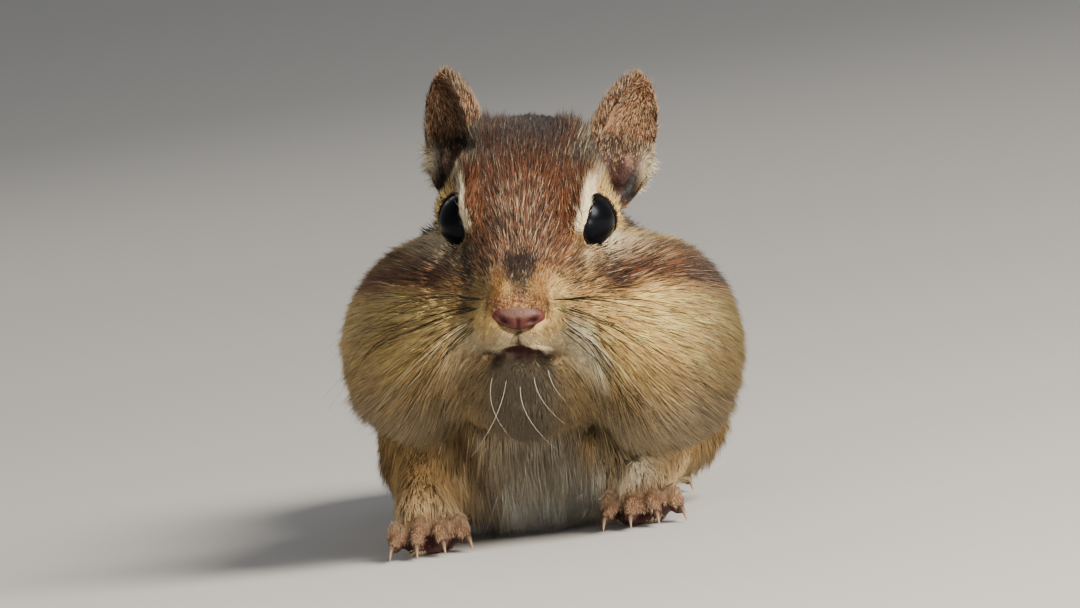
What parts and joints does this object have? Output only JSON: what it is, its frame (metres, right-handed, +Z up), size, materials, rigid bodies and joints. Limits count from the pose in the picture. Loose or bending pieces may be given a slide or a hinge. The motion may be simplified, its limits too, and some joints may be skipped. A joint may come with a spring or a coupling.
{
  "type": "chipmunk",
  "caption": "Life-size still model of an eastern chipmunk crouched on all fours, cheek pouches full, head cocked, tail laid behind.",
  "frame": {"origin": "on the floor, under the middle of the whole animal's box", "axes": "+Z up, +Y from nose to tail, +X to the animal's left"},
  "size_m": [0.0578, 0.1982, 0.0699],
  "materials": {
    "head_fur": "short ticked fur, russet crown, ochre cheeks",
    "body_fur": "short close fur with dark and cream back stripes",
    "tail_fur": "longer grizzled fur with a pale fringe",
    "nose_skin": "bare moist skin, maroon pink",
    "foot_skin": "thinly haired skin, tawny pink",
    "eye": "glossy black eyeball",
    "claw_horn": "translucent brown horn"
  },
  "bodies": {
    "root": {"cheek_pouch_left": "head_fur", "cheek_pouch_right": "head_fur", "ear_left": "head_fur", "ear_right": "head_fur", "eye_left": "eye", "eye_right": "eye", "forearm_left": "body_fur", "forearm_right": "body_fur", "forefoot_left": "foot_skin", "forefoot_left_claw_1": "claw_horn", "forefoot_left_claw_2": "claw_horn", "forefoot_left_claw_3": "claw_horn", "forefoot_left_claw_4": "claw_horn", "forefoot_right": "foot_skin", "forefoot_right_claw_1": "claw_horn", "forefoot_right_claw_2": "claw_horn", "forefoot_right_claw_3": "claw_horn", "forefoot_right_claw_4": "claw_horn", "head": "head_fur", "hindfoot_left": "foot_skin", "hindfoot_left_claw_1": "claw_horn", "hindfoot_left_claw_2": "claw_horn", "hindfoot_left_claw_3": "claw_horn", "hindfoot_left_claw_4": "claw_horn", "hindfoot_left_claw_5": "claw_horn", "hindfoot_right": "foot_skin", "hindfoot_right_claw_1": "claw_horn", "hindfoot_right_claw_2": "claw_horn", "hindfoot_right_claw_3": "claw_horn", "hindfoot_right_claw_4": "claw_horn", "hindfoot_right_claw_5": "claw_horn", "lower_jaw": "head_fur", "neck": "head_fur", "nose": "nose_skin", "shank_left": "body_fur", "shank_right": "body_fur", "tail_base": "tail_fur", "tail_middle": "tail_fur", "tail_tip": "tail_fur", "thigh_left": "body_fur", "thigh_right": "body_fur", "torso": "body_fur", "upper_arm_left": "body_fur", "upper_arm_right": "body_fur"}
  },
  "joints": []
}
